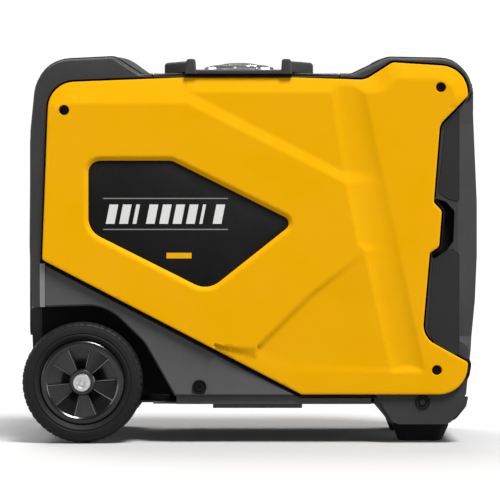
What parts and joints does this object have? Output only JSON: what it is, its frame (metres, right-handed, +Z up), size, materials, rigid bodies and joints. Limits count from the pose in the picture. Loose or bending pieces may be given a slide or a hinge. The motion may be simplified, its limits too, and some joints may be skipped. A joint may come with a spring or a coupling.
{
  "type": "inverter generator",
  "caption": "Wheeled closed-case inverter generator with sculpted side panels, telescopic trolley handle, fuel cap, pull starter and a socket panel on one end.",
  "frame": {"origin": "centre of the footprint on the ground, under the middle of the casing", "axes": "+X to the control panel end, -Y to the service side, +Z up"},
  "size_m": [0.608, 0.35, 0.522],
  "materials": {
    "yellow_plastic": "satin moulded, fine grain",
    "shell_black": "fine moulded grain",
    "badge_black": "fine sparkle grain",
    "rim_black": "semi-gloss",
    "tyre_black": "dull, fine tread blocks",
    "foot_rubber": "dull",
    "zinc_steel": "zinc plated",
    "tube_alloy": "drawn",
    "cap_chrome": "bright",
    "engine_alloy": "as cast",
    "exhaust_steel": "heat dulled",
    "tank_plastic": "blow moulded",
    "copper_winding": "enamelled",
    "white_ceramic": "glazed",
    "rope_nylon": "braided",
    "fan_plastic": "moulded",
    "socket_plastic": "moulded",
    "lid_plastic": "moulded",
    "panel_plastic": "fine grain",
    "display_window": "polished",
    "button_red": "moulded",
    "button_green": "moulded",
    "button_white": "moulded",
    "terminal_brass": "turned"
  },
  "bodies": {
    "casing": {"front_side_panel": "yellow_plastic", "rear_side_panel": "yellow_plastic", "badge_plates": "badge_black", "exhaust_end_shell": "shell_black", "exhaust_grille": "shell_black", "control_end_shell": "shell_black", "top_cover": "shell_black", "carry_frame": "shell_black", "base_pan": "shell_black", "front_shroud": "shell_black", "rear_shroud": "shell_black", "leg_frame": "shell_black", "rubber_feet": "foot_rubber", "cover_screws": "zinc_steel", "axle": "zinc_steel", "axle_caps": "zinc_steel", "handle_sleeves": "zinc_steel", "tank_neck": "zinc_steel", "fuel_tank": "tank_plastic", "recoil_cup": "shell_black", "recoil_housing": "exhaust_steel", "crankcase": "engine_alloy", "engine_cylinder": "engine_alloy", "stator": "copper_winding", "spark_plug": "white_ceramic", "carburettor": "engine_alloy", "air_box": "fan_plastic", "muffler": "exhaust_steel", "exhaust_tip": "exhaust_steel", "engine_mounts": "foot_rubber", "battery": "tank_plastic", "inverter_module": "engine_alloy", "control_panel": "panel_plastic", "ac_sockets": "socket_plastic", "dc_socket": "socket_plastic", "display": "display_window", "earth_terminal": "terminal_brass"},
    "front_wheel": {"front_wheel_rim": "rim_black", "front_tyre": "tyre_black"},
    "rear_wheel": {"rear_wheel_rim": "rim_black", "rear_tyre": "tyre_black"},
    "handle_mid": {"handle_mid_tubes": "tube_alloy"},
    "handle_inner": {"handle_inner_tubes": "tube_alloy", "handle_grip": "shell_black"},
    "handle_release": {"handle_button": "button_red"},
    "cap_insert": {"fuel_cap_insert": "tank_plastic"},
    "cap_shell": {"fuel_cap_shell": "cap_chrome"},
    "starter_cord": {"recoil_grip": "foot_rubber", "recoil_rope": "rope_nylon"},
    "starter_pulley": {"recoil_pulley": "engine_alloy"},
    "crank": {"crankshaft": "zinc_steel", "rotor": "zinc_steel", "cooling_fan": "fan_plastic"},
    "lid_a": {"socket_lid_a": "lid_plastic"},
    "lid_b": {"socket_lid_b": "lid_plastic"},
    "dc_lid": {"dc_cover": "lid_plastic"},
    "dial": {"start_dial": "button_red"},
    "rocker": {"eco_rocker": "button_white"},
    "breaker": {"ac_breaker": "button_white"},
    "starter_switch": {"start_button": "button_green"}
  },
  "joints": [
    {"name": "front_wheel_spin", "type": "hinge", "parent": "casing", "child": "front_wheel", "pos_m": [-0.221, -0.151, 0.08], "axis": [0, 1, 0], "continuous": true},
    {"name": "rear_wheel_spin", "type": "hinge", "parent": "casing", "child": "rear_wheel", "pos_m": [-0.221, 0.151, 0.08], "axis": [0, 1, 0], "continuous": true},
    {"name": "handle_stage_one", "type": "slide", "parent": "casing", "child": "handle_mid", "axis": [1, 0, 0], "range_m": [0, 0.28]},
    {"name": "handle_stage_two", "type": "slide", "parent": "handle_mid", "child": "handle_inner", "axis": [1, 0, 0], "range_m": [0, 0.28]},
    {"name": "handle_release_press", "type": "slide", "parent": "handle_inner", "child": "handle_release", "axis": [-1, 0, 0], "range_m": [0, 0.004], "stiffness_N_per_m": 900, "springref_m": -0.002},
    {"name": "fuel_cap_lift", "type": "slide", "parent": "casing", "child": "cap_insert", "axis": [0, 0, 1], "range_m": [0, 0.07]},
    {"name": "fuel_cap_turn", "type": "hinge", "parent": "cap_insert", "child": "cap_shell", "pos_m": [-0.015, 0, 0.505], "axis": [0, 0, 1], "range_deg": [0, 90]},
    {"name": "recoil_pull", "type": "slide", "parent": "casing", "child": "starter_cord", "axis": [0, 1, 0], "range_m": [0, 0.27], "stiffness_N_per_m": 40, "springref_m": -0.05},
    {"name": "recoil_pulley_turn", "type": "hinge", "parent": "casing", "child": "starter_pulley", "pos_m": [0.17, 0, 0.215], "axis": [1, 0, 0], "range_deg": [-245, 0]},
    {"name": "crank_spin", "type": "hinge", "parent": "casing", "child": "crank", "pos_m": [0, 0, 0.215], "axis": [1, 0, 0], "continuous": true},
    {"name": "socket_lid_a_open", "type": "hinge", "parent": "casing", "child": "lid_a", "pos_m": [0.2936, -0.066, 0.277], "axis": [0, -1, 0], "range_deg": [0, 110], "stiffness_Nm_per_rad": 0.02, "springref_deg": -17.19},
    {"name": "socket_lid_b_open", "type": "hinge", "parent": "casing", "child": "lid_b", "pos_m": [0.2936, 0.008, 0.277], "axis": [0, -1, 0], "range_deg": [0, 110], "stiffness_Nm_per_rad": 0.02, "springref_deg": -17.19},
    {"name": "dc_cover_open", "type": "hinge", "parent": "casing", "child": "dc_lid", "pos_m": [0.2936, -0.066, 0.189], "axis": [0, -1, 0], "range_deg": [0, 110], "stiffness_Nm_per_rad": 0.015, "springref_deg": -17.19},
    {"name": "start_dial_turn", "type": "hinge", "parent": "casing", "child": "dial", "pos_m": [0.286, 0.055, 0.365], "axis": [1, 0, 0], "range_deg": [-60, 60]},
    {"name": "eco_rocker_tip", "type": "hinge", "parent": "casing", "child": "rocker", "pos_m": [0.285, 0.092, 0.37], "axis": [0, 1, 0], "range_deg": [-16, 0]},
    {"name": "ac_breaker_press", "type": "slide", "parent": "casing", "child": "breaker", "axis": [-1, 0, 0], "range_m": [0, 0.003], "stiffness_N_per_m": 500, "springref_m": -0.001},
    {"name": "start_button_press", "type": "slide", "parent": "casing", "child": "starter_switch", "axis": [-1, 0, 0], "range_m": [0, 0.003], "stiffness_N_per_m": 500, "springref_m": -0.001}
  ],
  "couplings": [
    {"joint": "recoil_pulley_turn", "follows": "recoil_pull", "rad_per_m": -15.504}
  ]
}
